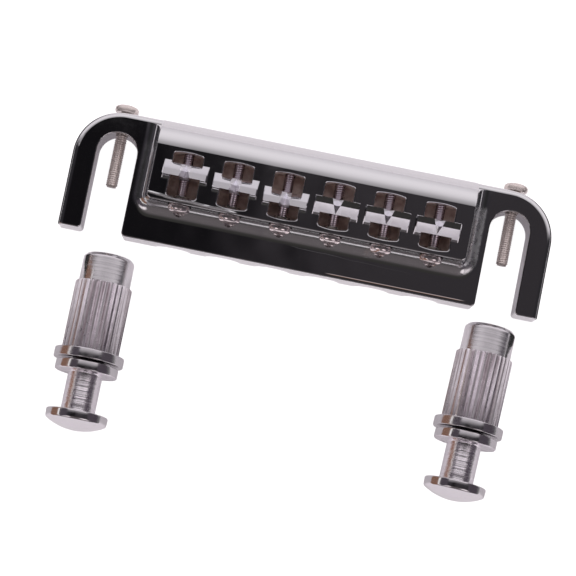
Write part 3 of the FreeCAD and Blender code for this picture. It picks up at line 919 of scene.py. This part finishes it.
# %% Swing an outline round the axis
def swing(outline, round_off=0.0):
    piece = trace([(reach / 1000, height / 1000) for reach, height in outline])
    lathe = piece.modifiers.new("lathe", "SCREW")
    lathe.axis = "Z"
    lathe.screw_offset = 0
    lathe.steps = lathe.render_steps = 96
    bpy.ops.object.modifier_apply(modifier=lathe.name)
    bpy.ops.object.mode_set(mode="EDIT")
    bpy.ops.mesh.select_all(action="SELECT")
    bpy.ops.mesh.remove_doubles(threshold=0.000002)
    bpy.ops.mesh.normals_make_consistent(inside=False)
    bpy.ops.object.mode_set(mode="OBJECT")
    if round_off:
        soften = piece.modifiers.new("soften", "BEVEL")
        soften.limit_method, soften.angle_limit = "ANGLE", math.radians(40)
        soften.width, soften.segments = round_off / 1000, 4
        bpy.ops.object.modifier_apply(modifier=soften.name)
    return piece


print("outlines are swung with the Screw modifier")


# %% [markdown]
# ## The stud
# The domed head and the flange hold the hook of the casting between them, on
# the neck, where the lathe has left fine uneven rings. The shank below is
# threaded for height, so it is made as the small screws are. It is hidden in
# the bushing until the stud is lifted out.

# %% Turn the stud
def dome(reach, low, height, steps=9):
    ball = (reach ** 2 + height ** 2) / (2 * height)
    widest = math.asin(reach / ball)
    turns = [widest * (1 - step / steps) for step in range(steps + 1)]
    return [(ball * math.sin(turn), low + height - ball * (1 - math.cos(turn)))
            for turn in turns]


def lathe_rings(radius, depth, low, high, pitch, drop=0.05):
    points, at, number = [], low, 0
    while at < high:
        number += 1
        step = pitch * (1 + 0.25 * math.sin(2.3 * number))
        points += [(radius - depth, at), (radius, at + step - drop)]
        at += step
    return points


neck, shank_end, flange_low, flange_high, head_low, head_high = 3.53, 1.5, 2.4, 4.4, 12.6, 14.4
stud_outline = [(0, shank_end), (3.25, shank_end), (3.25, flange_low), (6.45, flange_low),
                (6.45, flange_high), (neck, flange_high)]
stud_outline += lathe_rings(3.55, 0.03, 5.05, 11.6, 0.38)
stud_outline += [(neck, head_low), (6.4, head_low)] + dome(6.3, head_high, 1.8)
stud_model = joined([
    swing(stud_outline, 0.3),
    thread(0.00395, 0.0007, 0.00125, -0.0142, 0.0017),
    rod(0.0032, -0.0151, -0.0141, 0.0028)], "stud", False)
print("stud:", len(stud_model.data.polygons), "faces")

# %% [markdown]
# ## The bushing
# The bushing is pressed into the body of the instrument, and its 32 grooves
# bite into the wood. The barrel is swung round with three corners to a groove,
# and every third corner is then scaled towards the axis.

# %% Turn the bushing and press its grooves
land_radius, groove_radius, grooves = 5.89, 5.4, 32


def press_grooves(piece, beyond, share):
    pick(piece)
    bpy.ops.object.mode_set(mode="EDIT")
    bpy.ops.mesh.select_mode(type="VERT")
    bpy.ops.mesh.select_all(action="DESELECT")
    bpy.ops.object.mode_set(mode="OBJECT")
    for corner in piece.data.vertices:
        turn = math.atan2(corner.co.y, corner.co.x) / math.tau * 3 * grooves
        corner.select = round(turn) % 3 == 2 and math.hypot(*corner.co.xy) > beyond
    bpy.ops.object.mode_set(mode="EDIT")
    bpy.ops.transform.resize(value=(share, share, 1))
    bpy.ops.object.mode_set(mode="OBJECT")


sleeve = swing([(4.05, 1.6), (4.45, 2.0), (7.19, 2.0), (7.19, 0), (5.3, 0), (5.3, -19.6),
                (4.5, -20.4), (4.05, -20.4), (4.05, 1.6)], 0.4)
barrel = swing([(5.0, 0), (land_radius, 0), (land_radius, -14.1), (5.6, -14.4),
                (5.0, -14.4), (5.0, 0)])
press_grooves(barrel, 0.0055, groove_radius / land_radius)
bushing_model = joined([sleeve, barrel], "bushing", False)
print("bushing:", len(bushing_model.data.polygons), "faces")

# %% Lay the two sets on the floor
for part, model, ending in (("stud", stud_model, "_turned"),
                            ("bushing", bushing_model, "_knurled")):
    for side, (x, y, turn) in set_places.items():
        piece = copy_of(model) if side == "left" else model
        lay(piece, (x, y, lift), (math.radians(90) - droop, 0, math.radians(-turn)))
        name = part + "_" + side
        declare(piece, name, name, set_metals[name], ending)
print("both sets laid in front of the hooks")


# %% [markdown]
# ## Put the finishes on
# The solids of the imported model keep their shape. Only the material in each
# one's slot is changed.

# %% Give each node its finish
def finish_for(name):
    if name in set_metals:
        return set_metals[name]
    for start, finish in (("saddle", saddle_chrome), ("intonation_screw", screw_nickel),
                          ("ear_screw", ear_nickel), ("screw_clip", spring_steel)):
        if name.startswith(start):
            return finish
    return casting_chrome


for name, piece in sorted(nodes.items()):
    for material_slot in piece.material_slots:
        material_slot.material = finish_for(name)
print("finishes given to", len(nodes), "nodes")

# %% [markdown]
# ## Light level and colour
# The Standard view shows a colour as it is written, without a film look.

# %% Finish
bpy.context.scene.view_settings.view_transform = "Standard"
